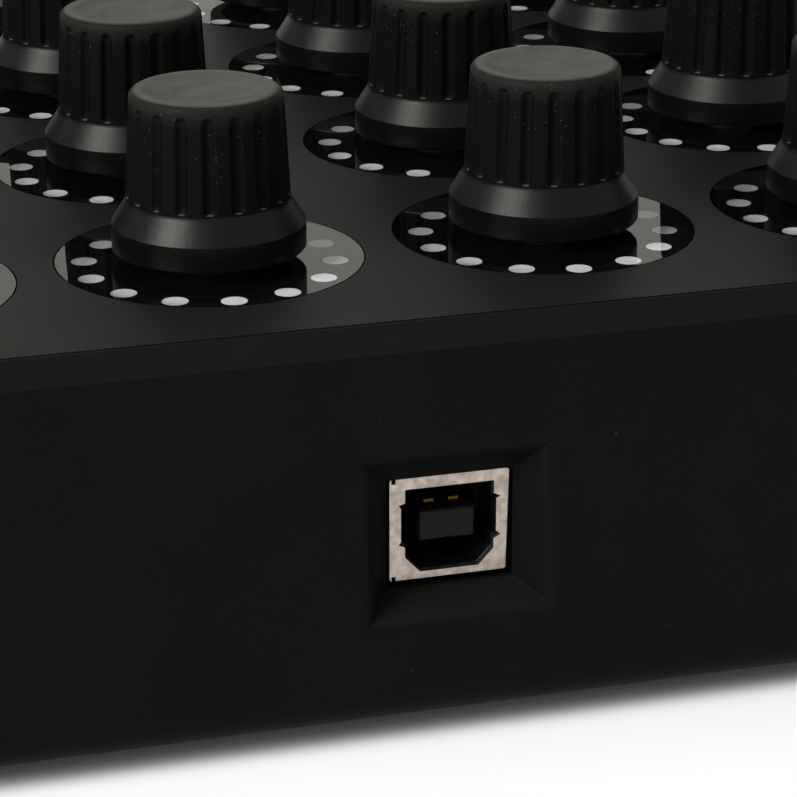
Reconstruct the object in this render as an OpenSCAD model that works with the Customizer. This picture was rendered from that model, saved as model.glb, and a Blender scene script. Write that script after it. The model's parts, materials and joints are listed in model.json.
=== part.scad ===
// Desk controller with a square grid of push-and-turn knobs, each over a ring of light windows.
// Sizes are in millimetres. The origin is under the middle of the body, on the surface it stands on.
// +Z is up, and the data socket is in the wall at +Y.

/* [Knob grid] */
// Distance between neighbouring knobs
knob_pitch = 35; // [34:0.5:40]

/* [Body] */
// From the outer knobs' axes to the faceplate's edge
edge_margin = 24.1; // [21:0.1:28]
// Corner radius of the faceplate
corner_r = 4; // [2:0.5:7]
// Height of the body without its feet
body_h = 38.6; // [37:0.1:48]
// Width of the flat rim round the faceplate
rim_w = 0.25; // [0.2:0.05:1]
// Size of the bevel round the top edge
bevel = 2.25; // [1.5:0.05:3]
// Outward lean of the side walls, in degrees
wall_lean = 6.5; // [4:0.1:9]
// Radius of the rounded lower edge
lower_round = 3.1; // [2:0.1:3.5]
// Thickness of the moulded side walls
wall_t = 2.5; // [2:0.1:3]
// Thickness of the moulded roof under the faceplate
roof_t = 2.3; // [1.8:0.1:2.8]

/* [Faceplate] */
// Thickness of the metal faceplate
plate_t = 2; // [1.6:0.1:2.4]
// Gap between the faceplate and the shell
plate_seam = 0.2; // [0.1:0.05:0.3]

/* [Light rings] */
// Radius of the clear disc under each knob
disc_r = 15.35; // [15:0.05:15.8]
// Gap between a disc and the faceplate
disc_gap = 0.15; // [0.05:0.05:0.3]
// Width of the ledge that a disc rests on
disc_ledge = 1; // [0.6:0.1:1.2]
// Thickness of the black mask under a disc
mask_t = 0.2; // [0.1:0.05:0.4]
// Radius of the ring of round windows
dot_ring_r = 12.5; // [12:0.05:12.8]
// Radius of one round window
dot_r = 1.33; // [1:0.01:1.4]
// Number of round windows
dot_count = 11; // [9:1:13]
// Angle from one round window to the next
dot_step = 26.2; // [18:0.1:28]
// Direction of the middle window, turned from +X
dot_turn = 87.5; // [80:0.1:100]
// Angle that the long status window covers
status_angle = 48; // [30:1:60]
// Width of the long status window
status_w = 2; // [1.4:0.1:2.4]
// Gap between a light guide and its window
guide_gap = 0.04; // [0.02:0.01:0.1]
// Thickness of the light guide's ring
guide_ring_t = 1.2; // [0.8:0.1:2]

/* [Knobs] */
// Radius of the knob's skirt
skirt_r = 9.65; // [9:0.05:10.2]
// Height of the skirt's upright band
skirt_h = 2.6; // [2:0.1:3.4]
// Height of the sloping shoulder above the skirt
shoulder_h = 2.75; // [2:0.05:3.5]
// Radius of the grip where it meets the shoulder
grip_r = 8.15; // [7.8:0.05:8.6]
// Radius of the grip just under its rim
grip_top_r = 7.6; // [7.2:0.05:7.8]
// Height of the whole knob
knob_h = 16.1; // [15:0.1:18]
// Gap between the skirt and the disc under it
knob_lift = 1.3; // [0.9:0.1:3]
// Number of flutes round the grip
flute_count = 18; // [12:1:20]
// Radius of the cutter that forms a flute
flute_r = 0.65; // [0.4:0.05:0.8]
// Depth of a flute
flute_depth = 0.6; // [0.3:0.05:0.8]
// Radius of the rounded rim at the top
rim_round = 0.85; // [0.5:0.05:1.2]
// Depth of the finger dish in the top
dish_depth = 0.7; // [0.3:0.05:1]
// Turn of the knobs at rest, in degrees
knob_turn = -2; // [-10:1:10]

/* [Encoders] */
// Radius of the shaft
shaft_r = 3; // [2.8:0.1:3]
// Depth of the flat that keys the shaft
shaft_flat = 1.2; // [0.8:0.1:1.5]
// Travel of the knob when it is pushed
push_travel = 0.5; // [0.3:0.1:0.6]
// Width of the square encoder case
case_w = 12; // [11.4:0.1:13]
// Height of the encoder case
case_h = 5.6; // [5.4:0.1:6]
// Outer radius of the bushing
bushing_r = 3.9; // [3.7:0.1:4.2]
// Thickness of the encoder's base wafer
wafer_t = 1.2; // [1:0.1:1.6]
// Radial gap between the shaft and what it runs in
shaft_gap = 0.06; // [0.03:0.01:0.1]
// Height of the snap dome under the shaft
dome_h = 0.35; // [0.2:0.05:0.5]

/* [Circuit board] */
// From the faceplate's top down to the board's top
board_drop = 13.8; // [13.6:0.1:15]
// Thickness of the board
board_t = 1.6; // [1:0.1:2]
// Gap between the board's edge and the shell
board_gap = 3.2; // [2.4:0.1:6]
// Height of a light on the board
led_h = 0.7; // [0.5:0.1:1]

/* [Data socket] */
// Width of the socket's metal face
socket_w = 12; // [11.8:0.1:12.2]
// Height of the socket's metal face
socket_h = 10.5; // [10.4:0.1:11]
// Depth of the socket behind its face
socket_depth = 16; // [14:0.5:18]
// Thickness of the socket's sheet metal
socket_sheet = 0.4; // [0.3:0.05:0.6]
// Width of the socket's opening
mouth_w = 8.9; // [8.6:0.1:9.2]
// Height of the socket's opening
mouth_h = 8.6; // [8.2:0.1:8.8]
// From the outer knobs' axes to the socket's face
socket_reach = 25.4; // [25:0.1:26.4]
// How far the socket sits beside the body's middle
socket_side = 0.4; // [-2:0.1:2]
// Width of the funnel where it meets the wall
funnel_w = 18.7; // [16:0.1:22]
// Height of the funnel where it meets the wall
funnel_h = 16.5; // [15:0.1:20]

/* [Side buttons] */
// Length of a side button
button_w = 13; // [10:0.5:16]
// Height of a side button
button_h = 6.4; // [5:0.1:7]
// How far a side button stands out of the wall
button_proud = 0.9; // [0.6:0.1:1.4]
// Travel of a side button
button_travel = 0.5; // [0.3:0.1:0.6]
// Gap round a side button
button_gap = 0.3; // [0.2:0.05:0.5]

/* [Base] */
// Thickness of the bottom cover
cover_t = 2.5; // [2:0.1:3]
// Gap between the cover and the shell
cover_seam = 0.2; // [0.1:0.05:0.4]
// Height of the feet below the cover
foot_h = 2.4; // [1.5:0.1:4]
// Radius of a rubber foot
foot_r = 7; // [5:0.5:8]
// Radius of a screw's thread
screw_r = 1.45; // [1.2:0.05:1.6]

/* [Hidden] */
$fn = 64;
grid_n = 4;
knob_n = grid_n * grid_n;
button_n = 6;
// Overlap of solids that are joined, and how far a cutter runs past what it cuts
eps = 0.01;
over = 1;
// Clearance round screws in their holes, and round what sits in a recess
screw_gap = 0.2;
seat_gap = 0.1;

// Heights above the surface that the controller stands on
base_z = foot_h;
top_z = foot_h + body_h;
plate_z = top_z - plate_t;
roof_z = plate_z - roof_t;
mask_z = plate_z + mask_t;
board_z = top_z - board_drop;
board_under_z = board_z - board_t;
cover_top_z = base_z + cover_t;
ledge_h = 3;

// Plan sizes: the corners of every outline turn about the same four centre lines
plate_half = (grid_n - 1) / 2 * knob_pitch + edge_margin;
core = plate_half - corner_r;
pocket_r = corner_r + plate_seam;
bevel_top_r = pocket_r + rim_w;
bevel_low_r = bevel_top_r + bevel;
bevel_z = top_z - bevel;
function wall_r(z) = bevel_low_r + (bevel_z - z) * tan(wall_lean);
function wall_inner_r(z) = wall_r(z) - wall_t / cos(wall_lean);

// The lower edge is an arc that starts where the leaning wall ends
round_z = base_z + lower_round;
arc_start_z = round_z + lower_round * sin(wall_lean);
round_r = wall_r(arc_start_z) - lower_round * cos(wall_lean);
lip_w = 1;
cover_r = round_r - lip_w - cover_seam;
ledge_w = 1.6;
wall_reach = core + wall_r(base_z) + over;

// Encoder heights
case_z = board_z + wafer_t;
case_top_z = case_z + case_h;
case_roof = 1;
rotor_gap = 0.1;
rotor_disc_r = 4.9;
rotor_disc_t = 1.2;
rotor_hub_r = 3.8;
rotor_hub_t = 1.4;
rotor_z = case_z + rotor_gap;
rotor_top_z = rotor_z + rotor_disc_t + rotor_hub_t;
rotor_room = 0.4;
case_room_r = rotor_disc_r + rotor_room;
case_neck_r = 4.2;
collar_r = 3.8;
collar_t = 0.8;
collar_top_z = case_top_z - case_roof - rotor_gap;
shaft_float = 0.05;
shaft_z = case_z + dome_h + push_travel + shaft_float;
cap_z = top_z + knob_lift;
cap_roof = 3.2;
shaft_seat = knob_h - dish_depth - cap_roof;
shaft_top_z = cap_z + shaft_seat;
bushing_sink = 0.4;
bushing_top_z = top_z - bushing_sink;
bushing_gap = 0.3;
shaft_hold = 0.03;
dome_inset = 0.2;
dome_r = shaft_r - shaft_flat - dome_inset;
wafer_inset = 0.2;

// Lights and the guides that carry them up to the windows
led_size = [1.6, 2, led_h];
led_gap = 0.15;
guide_ring_w = 2.8;
chip_size = [5, 6, 1];
main_chip_size = [10, 10, 1.2];

// Knob heights above its own lower edge
skirt_round = 0.5;
shoulder_z = skirt_h;
grip_z = skirt_h + shoulder_h;
rim_z = knob_h - rim_round;
blend = 0.35;
flute_start = 0.15;
flute_stop = 1.25;
flute_low_z = grip_z - flute_start;
flute_top_z = knob_h - flute_stop;
boss_r = 4.5;
boss_lift = 0.8;
hollow_r = 6.2;
skirt_wall = 1.5;
dish_lip = 0.5;

// Data socket: its top face lies on the underside of the board
socket_y = (grid_n - 1) / 2 * knob_pitch + socket_reach;
socket_z = board_under_z - socket_h / 2;
socket_side_gap = 0.35;
socket_low_gap = 0.8;
hole_w = socket_w + 2 * socket_side_gap;
hole_h = socket_h + socket_low_gap;
hole_z = socket_z - socket_low_gap / 2;
funnel_rise = 0.2;
funnel_z = socket_z + funnel_rise;
pad_depth = 2;
pad_rim = 3.5;
mouth_drop = 0.2;
mouth_wing = 0.35;
wing_drop = 1.55;
wing_h = 4.1;
wing_high = mouth_h / 2 - wing_drop;
wing_low = wing_high - wing_h;
mouth_cut = 1.5;
tongue_w = 5.7;
tongue_h = 3.2;
tongue_back = 0.8;
insert_gap = 0.05;
contact_size = [1, 0.25];
contact_pitch = 2.5;
contact_back = 2;
plug_depth = 9;
fold_notch_r = 0.3;

// Side buttons: a pad on the wall's inside gives each one an upright seat
button_drop = 5.1;
button_z = board_under_z - button_drop;
button_step = knob_pitch;
seat_rim = 2.2;
flange_lip = 1.3;
flange_t = 1.2;
flange_gap = 0.1;
seat_depth = 0.5;
button_seat_x = core + wall_inner_r(button_z + button_h / 2 + seat_rim) - seat_depth;
switch_w = 7;
switch_d = 4;
switch_set = 4.4;
plunger_r = 1.7;
plunger_l = 1.4;
switch_x = button_seat_x - switch_set;
stem_r = 2;
stem_gap = 0.1;
stem_tip_x = switch_x + plunger_l + button_travel + stem_gap;

// Fasteners and feet
boss_inset = 6.9;
boss_pos = plate_half - boss_inset;
cover_boss_r = 3.6;
cover_screw_l = 10;
head_r = 2.8;
head_t = 1.35;
board_boss_r = 3;
board_screw_l = 9;
board_head_r = 2.4;
board_head_t = 1.5;
foot_inset = 15.4;
foot_pos = plate_half - foot_inset;
foot_socket = 0.5;
foot_edge = [0.6, 0.8];
board_half = core + wall_inner_r(board_z) - board_gap;
notch_gap = 1;
board_notch = boss_pos - cover_boss_r - notch_gap;

function knob_x(i) = ((i - 1) % grid_n - (grid_n - 1) / 2) * knob_pitch;
function knob_y(i) = ((grid_n - 1) / 2 - floor((i - 1) / grid_n)) * knob_pitch;
function arc(x, y, r, from, to, steps) =
    [for (k = [0:steps]) let (a = from + (to - from) * k / steps) [x + r * cos(a), y + r * sin(a)]];

module at_knob(i) {
    translate([knob_x(i), knob_y(i), 0]) children();
}

module at_knobs() {
    for (i = [1:knob_n]) at_knob(i) children();
}

module at_corners(d) {
    for (x = [-d, d]) for (y = [-d, d]) translate([x, y, 0]) children();
}

module at_board_screws() {
    children();
    at_corners(knob_pitch) children();
}

module at_button(i) {
    side = i > button_n / 2 ? 180 : 0;
    place = (i - 1) % (button_n / 2) - 1;
    rotate(side) translate([0, place * button_step, button_z]) children();
}

// A block with rounded corners. The child is its half outline: x runs out from the corners'
// centre lines, y runs up, and the side at x = 0 stands from low to high.
module swept_block(low, high) {
    translate([-core, -core, low]) cube([2 * core, 2 * core, high - low]);
    for (q = [0:3]) rotate(q * 90) translate([core, core, 0]) {
        rotate_extrude(angle = 90) children();
        rotate([90, 0, 0]) linear_extrude(2 * core) children();
    }
}

module outer_outline() {
    polygon(concat(
        [[0, base_z]],
        arc(round_r, round_z, lower_round, -90, wall_lean, 6),
        [[bevel_low_r, bevel_z], [bevel_top_r, top_z], [0, top_z]]
    ));
}

module inner_outline() {
    ledge_r = cover_r - ledge_w;
    ledge_z = cover_top_z + ledge_h;
    slope_z = ledge_z + wall_inner_r(ledge_z) - ledge_r;
    polygon([
        [0, base_z - over],
        [cover_r + cover_seam, base_z - over],
        [cover_r + cover_seam, cover_top_z],
        [ledge_r, cover_top_z],
        [ledge_r, ledge_z],
        [wall_inner_r(slope_z), slope_z],
        [wall_inner_r(roof_z), roof_z],
        [0, roof_z]
    ]);
}

// The funnel round the socket: an upright rectangle at the socket, a leaning one at the wall
module socket_funnel() {
    wall_y = core + wall_r(funnel_z);
    hull() {
        translate([-hole_w / 2, socket_y, hole_z - hole_h / 2]) cube([hole_w, eps, hole_h]);
        translate([0, wall_y, funnel_z]) rotate([wall_lean, 0, 0])
            translate([-funnel_w / 2, 0, -funnel_h / 2]) cube([funnel_w, over, funnel_h]);
    }
}

module socket_hole() {
    translate([-hole_w / 2, socket_y - pad_depth - over, hole_z - hole_h / 2])
        cube([hole_w, pad_depth + over + eps, hole_h]);
}

module socket_pad() {
    w = hole_w + 2 * pad_rim;
    h = hole_h + 2 * pad_rim;
    translate([-w / 2, socket_y - pad_depth, hole_z - h / 2])
        cube([w, wall_reach - socket_y + pad_depth, h]);
}

// A bar with round ends along Y, its thickness along X
module pill(w, h, t) {
    rotate([90, 0, 90]) linear_extrude(t) {
        square([w - h, h], center = true);
        for (s = [-1, 1]) translate([s * (w - h) / 2, 0]) circle(h / 2);
    }
}

module button_pad() {
    w = button_w + 2 * seat_rim;
    h = button_h + 2 * seat_rim;
    translate([button_seat_x, -w / 2, -h / 2]) cube([wall_reach - button_seat_x, w, h]);
}

module button_hole() {
    translate([button_seat_x - over, 0, 0])
        pill(button_w + 2 * button_gap, button_h + 2 * button_gap, wall_reach - button_seat_x + over);
}

module top_shell() {
    color([0.09, 0.095, 0.09]) difference() {
        union() {
            difference() {
                swept_block(base_z, top_z) outer_outline();
                swept_block(base_z - over, roof_z) inner_outline();
            }
            intersection() {
                swept_block(base_z, top_z) outer_outline();
                union() {
                    translate([socket_side, 0, 0]) socket_pad();
                    for (i = [1:button_n]) at_button(i) button_pad();
                }
            }
            at_corners(boss_pos) translate([0, 0, cover_top_z])
                cylinder(r = cover_boss_r, h = roof_z - cover_top_z + eps);
            at_board_screws() translate([0, 0, board_z])
                cylinder(r = board_boss_r, h = roof_z - board_z + eps);
        }
        swept_block(plate_z, top_z + over) translate([0, plate_z]) square([pocket_r, plate_t + over]);
        at_knobs() translate([0, 0, roof_z - over])
            cylinder(r = disc_r - disc_ledge, h = roof_t + 2 * over);
        translate([socket_side, 0, 0]) {
            socket_funnel();
            socket_hole();
        }
        for (i = [1:button_n]) at_button(i) button_hole();
        at_corners(boss_pos) translate([0, 0, cover_top_z - over])
            cylinder(r = screw_r + shaft_gap, h = cover_screw_l + over);
        at_board_screws() translate([0, 0, board_z - over])
            cylinder(r = screw_r + shaft_gap, h = board_screw_l);
    }
}

module faceplate() {
    color([0.2, 0.2, 0.195]) difference() {
        swept_block(plate_z, top_z) translate([0, plate_z]) square([corner_r, plate_t]);
        at_knobs() translate([0, 0, plate_z - over])
            cylinder(r = disc_r + disc_gap, h = plate_t + 2 * over);
    }
}

module bottom_cover() {
    color([0.1, 0.1, 0.1]) difference() {
        swept_block(base_z, cover_top_z) translate([0, base_z]) square([cover_r, cover_t]);
        at_corners(boss_pos) {
            translate([0, 0, base_z - over])
                cylinder(r = screw_r + screw_gap, h = cover_t + 2 * over);
            translate([0, 0, base_z - eps])
                cylinder(r1 = head_r + seat_gap, r2 = screw_r + seat_gap, h = head_t + seat_gap);
        }
        at_corners(foot_pos) translate([0, 0, base_z - over])
            cylinder(r = foot_r + seat_gap, h = foot_socket + over);
    }
}

module dot_windows(r) {
    for (k = [0:dot_count - 1]) rotate(dot_turn + (k - (dot_count - 1) / 2) * dot_step)
        translate([dot_ring_r, 0]) circle(r);
}

// The long window faces the user, opposite the middle of the round ones
module status_bar(grow, low, high) {
    half_w = status_w / 2 + grow;
    turn = status_angle + 2 * atan(grow / dot_ring_r);
    translate([0, 0, low]) rotate(dot_turn + 180 - turn / 2) rotate_extrude(angle = turn)
        translate([dot_ring_r - half_w, 0]) square([2 * half_w, high - low]);
}

// Clear discs, level with the faceplate
module indicator_discs() {
    color([0.75, 0.77, 0.78, 0.4]) at_knobs() translate([0, 0, mask_z])
        linear_extrude(top_z - mask_z) difference() {
            circle(disc_r);
            circle(bushing_r + bushing_gap);
        }
}

// Black masks under the discs, with the windows for the lights
module mask_rings() {
    color([0.02, 0.02, 0.022]) at_knobs() difference() {
        translate([0, 0, plate_z]) linear_extrude(mask_t) difference() {
            circle(disc_r);
            circle(bushing_r + bushing_gap);
            dot_windows(dot_r);
        }
        status_bar(guide_gap, plate_z - over, mask_z + over);
    }
}

module light_guides() {
    low = board_z + led_h + led_gap;
    color([0.93, 0.93, 0.92]) at_knobs() {
        translate([0, 0, plate_z - guide_ring_t]) linear_extrude(guide_ring_t) difference() {
            circle(dot_ring_r + guide_ring_w / 2);
            circle(dot_ring_r - guide_ring_w / 2);
        }
        translate([0, 0, low]) linear_extrude(mask_z - low) dot_windows(dot_r - guide_gap);
        status_bar(0, low, mask_z);
    }
}

module circuit_board() {
    edge = board_half - board_notch;
    color([0.05, 0.3, 0.16]) translate([0, 0, board_under_z]) linear_extrude(board_t) difference() {
        square(2 * board_half, center = true);
        for (x = [-1, 1]) for (y = [-1, 1])
            translate([x * (board_notch + edge), y * (board_notch + edge)])
                square(2 * edge, center = true);
        at_board_screws() circle(screw_r + screw_gap);
    }
}

module ring_led(turn) {
    rotate(turn) translate([dot_ring_r - led_size[0] / 2, -led_size[1] / 2, board_z]) cube(led_size);
}

module ring_leds() {
    color([0.9, 0.9, 0.8]) at_knobs() {
        for (k = [0:dot_count - 1]) ring_led(dot_turn + (k - (dot_count - 1) / 2) * dot_step);
        for (s = [-1, 1]) ring_led(dot_turn + 180 + s * status_angle / 4);
    }
}

module chip(x, y, size) {
    translate([x - size[0] / 2, y - size[1] / 2, board_under_z - size[2]]) cube(size);
}

module board_chips() {
    color([0.08, 0.08, 0.09]) {
        chip(0, knob_pitch, main_chip_size);
        chip(0, -knob_pitch, chip_size);
        for (x = [-knob_pitch, knob_pitch]) chip(x, 0, chip_size);
    }
}

module encoder_cases() {
    color([0.6, 0.6, 0.6]) at_knobs() difference() {
        union() {
            translate([-case_w / 2, -case_w / 2, case_z]) cube([case_w, case_w, case_h]);
            translate([0, 0, case_top_z - eps])
                cylinder(r = bushing_r, h = bushing_top_z - case_top_z + eps);
        }
        translate([0, 0, case_z - over])
            cylinder(r = case_room_r, h = over + 2 * rotor_gap + rotor_disc_t);
        translate([0, 0, case_z]) cylinder(r = case_neck_r, h = case_h - case_roof);
        translate([0, 0, case_z]) cylinder(r = shaft_r + shaft_gap, h = bushing_top_z);
    }
}

module encoder_bases() {
    w = case_w - 2 * wafer_inset;
    color([0.35, 0.2, 0.1]) at_knobs()
        translate([-w / 2, -w / 2, board_z]) cube([w, w, wafer_t]);
}

module switch_domes() {
    color([0.75, 0.72, 0.6]) at_knobs() translate([0, 0, case_z])
        cylinder(r1 = dome_r, r2 = dome_r / 2, h = dome_h);
}

// The keyed outline of the shaft, a circle with one flat
module keyed_circle(r, grow) {
    difference() {
        circle(r + grow);
        translate([shaft_r - shaft_flat + grow, -2 * r]) square([2 * r, 4 * r]);
    }
}

module encoder_rotor(i) {
    color([0.85, 0.85, 0.8]) at_knob(i) rotate(knob_turn) difference() {
        union() {
            translate([0, 0, rotor_z]) cylinder(r = rotor_disc_r, h = rotor_disc_t);
            translate([0, 0, rotor_z]) cylinder(r = rotor_hub_r, h = rotor_top_z - rotor_z);
        }
        translate([0, 0, rotor_z - over]) linear_extrude(rotor_top_z - rotor_z + 2 * over)
            keyed_circle(shaft_r, shaft_gap);
    }
}

module encoder_shaft() {
    collar_z = collar_top_z - collar_t;
    keyed_z = cap_z + boss_lift - seat_gap;
    translate([0, 0, shaft_z]) linear_extrude(collar_z - shaft_z + eps) keyed_circle(shaft_r, 0);
    translate([0, 0, collar_z]) cylinder(r = collar_r, h = collar_t);
    translate([0, 0, collar_z]) cylinder(r = shaft_r, h = keyed_z - collar_z);
    translate([0, 0, keyed_z - eps]) linear_extrude(shaft_top_z - keyed_z + eps)
        keyed_circle(shaft_r, 0);
}

// Half outline of the knob, from the middle of its underside round to the middle of its dish
module knob_outline() {
    dish_r = grip_top_r - rim_round;
    pit_r = dish_r / 2;
    polygon(concat(
        [[0, 0]],
        arc(skirt_r - skirt_round, skirt_round, skirt_round, -90, 0, 3),
        [[skirt_r, shoulder_z]],
        [[grip_r + blend, grip_z - blend]],
        [[grip_r, grip_z + blend]],
        arc(dish_r, rim_z, rim_round, 0, 90, 5),
        [[dish_r - dish_lip, knob_h - dish_depth / 3]],
        [[pit_r + 2 * dish_lip, knob_h - dish_depth * 2 / 3]],
        [[pit_r, knob_h - dish_depth * 3 / 4]],
        [[pit_r - dish_lip, knob_h - dish_depth]],
        [[0, knob_h - dish_depth]]
    ));
}

// A round-ended cutter that leans with the grip's taper
module flute() {
    taper = atan((grip_r - grip_top_r) / (rim_z - grip_z));
    run = flute_top_z - flute_low_z - flute_r;
    translate([grip_r - flute_depth + flute_r, 0, flute_low_z]) rotate([0, -taper, 0]) {
        cylinder(r = flute_r, h = run);
        translate([0, 0, run]) sphere(flute_r);
    }
}

module knob_cap() {
    difference() {
        rotate_extrude() knob_outline();
        for (k = [0:flute_count - 1]) rotate(k * 360 / flute_count) flute();
        difference() {
            union() {
                translate([0, 0, -over]) cylinder(r = skirt_r - skirt_wall, h = over + skirt_h);
                cylinder(r = hollow_r, h = shaft_seat - over);
            }
            translate([0, 0, boss_lift]) cylinder(r = boss_r, h = knob_h);
        }
        translate([0, 0, -over]) linear_extrude(shaft_seat + seat_gap + over)
            keyed_circle(shaft_r, shaft_hold);
    }
}

module knob(i) {
    color([0.07, 0.07, 0.068]) at_knob(i) rotate(knob_turn) {
        translate([0, 0, cap_z]) knob_cap();
        encoder_shaft();
    }
}

module side_button(i) {
    flange_x = button_seat_x - flange_gap - flange_t;
    face_x = core + wall_r(button_z) + button_proud;
    block = 2 * button_w;
    color([0.08, 0.08, 0.08]) at_button(i) {
        intersection() {
            translate([flange_x, 0, 0]) pill(button_w, button_h, face_x - flange_x + over);
            translate([face_x, 0, 0]) rotate([0, -wall_lean, 0])
                translate([-block, -block / 2, -block / 2]) cube(block);
        }
        translate([flange_x, 0, 0])
            pill(button_w + 2 * flange_lip, button_h + 2 * flange_lip, flange_t);
        translate([stem_tip_x, 0, 0]) rotate([0, 90, 0])
            cylinder(r = stem_r, h = flange_x - stem_tip_x + eps);
    }
}

module side_switches() {
    low = -switch_w / 2;
    color([0.15, 0.15, 0.16]) for (i = [1:button_n]) at_button(i) {
        translate([switch_x - switch_d, -switch_w / 2, low])
            cube([switch_d, switch_w, board_under_z - button_z - low]);
        translate([switch_x - eps, 0, 0]) rotate([0, 90, 0]) cylinder(r = plunger_r, h = plunger_l);
    }
}

// Outline of the socket's opening: square upper corners, cut lower ones, wider in the middle
module mouth_outline(grow) {
    w = mouth_w / 2 + grow;
    h = mouth_h / 2 + grow;
    wing = w + mouth_wing;
    side = [
        [mouth_w / 2 - mouth_cut + grow, -h],
        [w, -h + mouth_cut],
        [w, wing_low],
        [wing, wing_low],
        [wing, wing_high],
        [w, wing_high],
        [w, h]
    ];
    translate([0, -mouth_drop])
        polygon(concat(side, [for (k = [len(side) - 1:-1:0]) [-side[k][0], side[k][1]]]));
}

// Runs inwards from the middle of the socket's face
module at_socket() {
    translate([socket_side, socket_y, socket_z]) rotate([90, 0, 0]) children();
}

module usb_shell() {
    color([0.78, 0.76, 0.72]) at_socket() difference() {
        linear_extrude(socket_depth) square([socket_w, socket_h], center = true);
        translate([0, 0, socket_sheet]) linear_extrude(socket_depth)
            square([socket_w - 2 * socket_sheet, socket_h - 2 * socket_sheet], center = true);
        translate([0, 0, -over]) linear_extrude(socket_sheet + 2 * over) mouth_outline(0);
        // The face is folded over, with a small notch at each corner
        for (x = [-1, 1]) for (y = [-1, 1])
            translate([x * socket_w / 2, y * socket_h / 2, -over])
                cylinder(r = fold_notch_r, h = over + socket_sheet);
    }
}

module usb_insert() {
    front = socket_sheet + insert_gap;
    w = socket_w - 2 * front;
    h = socket_h - 2 * front;
    color([0.16, 0.16, 0.17]) at_socket() {
        difference() {
            translate([0, 0, front]) linear_extrude(socket_depth - front)
                square([w, h], center = true);
            translate([0, 0, front - over]) linear_extrude(plug_depth + over) mouth_outline(0);
        }
        translate([0, -mouth_drop, tongue_back]) linear_extrude(plug_depth + front - tongue_back + eps)
            square([tongue_w, tongue_h], center = true);
    }
}

module usb_contacts() {
    front = tongue_back + contact_back;
    back = plug_depth + socket_sheet;
    color([0.85, 0.65, 0.25]) at_socket() for (x = [-1, 1]) for (y = [-1, 1])
        translate([x * contact_pitch / 2, y * (tongue_h + contact_size[1]) / 2 - mouth_drop, front])
            linear_extrude(back - front) square(contact_size, center = true);
}

module cover_screws() {
    color([0.3, 0.3, 0.3]) at_corners(boss_pos) translate([0, 0, base_z]) {
        cylinder(r1 = head_r, r2 = screw_r, h = head_t);
        cylinder(r = screw_r, h = cover_screw_l);
    }
}

module board_screws() {
    color([0.5, 0.5, 0.5]) at_board_screws() {
        translate([0, 0, board_under_z - board_head_t]) cylinder(r = board_head_r, h = board_head_t);
        translate([0, 0, board_under_z - eps]) cylinder(r = screw_r, h = board_screw_l);
    }
}

module rubber_feet() {
    color([0.12, 0.12, 0.12]) at_corners(foot_pos) {
        cylinder(r1 = foot_r - foot_edge[0], r2 = foot_r, h = foot_edge[1]);
        translate([0, 0, foot_edge[1] - eps])
            cylinder(r = foot_r, h = foot_h + foot_socket - foot_edge[1] + eps);
    }
}

top_shell();
faceplate();
bottom_cover();
indicator_discs();
mask_rings();
light_guides();
circuit_board();
ring_leds();
board_chips();
encoder_cases();
encoder_bases();
switch_domes();
side_switches();
usb_shell();
usb_insert();
usb_contacts();
cover_screws();
board_screws();
rubber_feet();
for (i = [1:knob_n]) encoder_rotor(i);
for (i = [1:knob_n]) knob(i);
for (i = [1:button_n]) side_button(i);
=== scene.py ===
import json
import math
import bmesh
import bpy
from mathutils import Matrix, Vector


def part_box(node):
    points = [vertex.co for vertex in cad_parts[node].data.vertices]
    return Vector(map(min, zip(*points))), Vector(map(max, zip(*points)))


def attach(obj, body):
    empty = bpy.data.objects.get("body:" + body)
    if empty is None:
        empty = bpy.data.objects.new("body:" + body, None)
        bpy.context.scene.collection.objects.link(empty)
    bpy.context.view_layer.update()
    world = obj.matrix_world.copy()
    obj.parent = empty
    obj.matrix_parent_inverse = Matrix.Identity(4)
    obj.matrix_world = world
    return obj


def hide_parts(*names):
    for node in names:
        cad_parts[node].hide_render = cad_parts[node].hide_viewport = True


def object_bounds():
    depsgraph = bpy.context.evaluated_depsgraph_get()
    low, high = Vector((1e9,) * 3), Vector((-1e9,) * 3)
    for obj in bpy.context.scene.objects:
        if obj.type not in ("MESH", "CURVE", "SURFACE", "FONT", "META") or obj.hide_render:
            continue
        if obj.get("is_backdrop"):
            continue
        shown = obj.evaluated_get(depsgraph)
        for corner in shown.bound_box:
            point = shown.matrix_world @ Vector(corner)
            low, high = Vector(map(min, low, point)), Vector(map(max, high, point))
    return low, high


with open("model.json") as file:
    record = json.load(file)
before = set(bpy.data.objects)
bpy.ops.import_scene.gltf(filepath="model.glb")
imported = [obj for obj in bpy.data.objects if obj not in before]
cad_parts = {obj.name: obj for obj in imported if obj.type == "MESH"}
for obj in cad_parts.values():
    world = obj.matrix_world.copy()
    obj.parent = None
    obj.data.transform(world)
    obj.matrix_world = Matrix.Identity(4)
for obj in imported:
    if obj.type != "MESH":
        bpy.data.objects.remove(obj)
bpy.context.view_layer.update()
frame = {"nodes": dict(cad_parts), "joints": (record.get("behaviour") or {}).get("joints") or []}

# Lengths in the dictionaries are in millimetres and angles in degrees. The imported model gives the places,
# in metres
mm = 0.001
bpy.ops.object.select_all(action="DESELECT")
bpy.context.scene.view_settings.view_transform = "Standard"

plateLow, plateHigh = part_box("faceplate")
shellLow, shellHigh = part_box("top_shell")
knobLow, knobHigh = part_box("knob_1")
topZ = plateHigh.z
knobPlaces = [Vector(joint["pos_m"]) for joint in frame["joints"] if joint["name"].startswith("turn")]


# Tools that every piece uses

# merge and mirror: points that become one. match and loose: how close counts as there. sharp: in radians
limits = {"merge": 0.001, "mirror": 0.005, "match": 0.01, "loose": 0.1, "sharp": 0.4, "faceWeight": 80}


def solo(piece):
    bpy.ops.object.select_all(action="DESELECT")
    piece.select_set(True)
    bpy.context.view_layer.objects.active = piece


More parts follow.
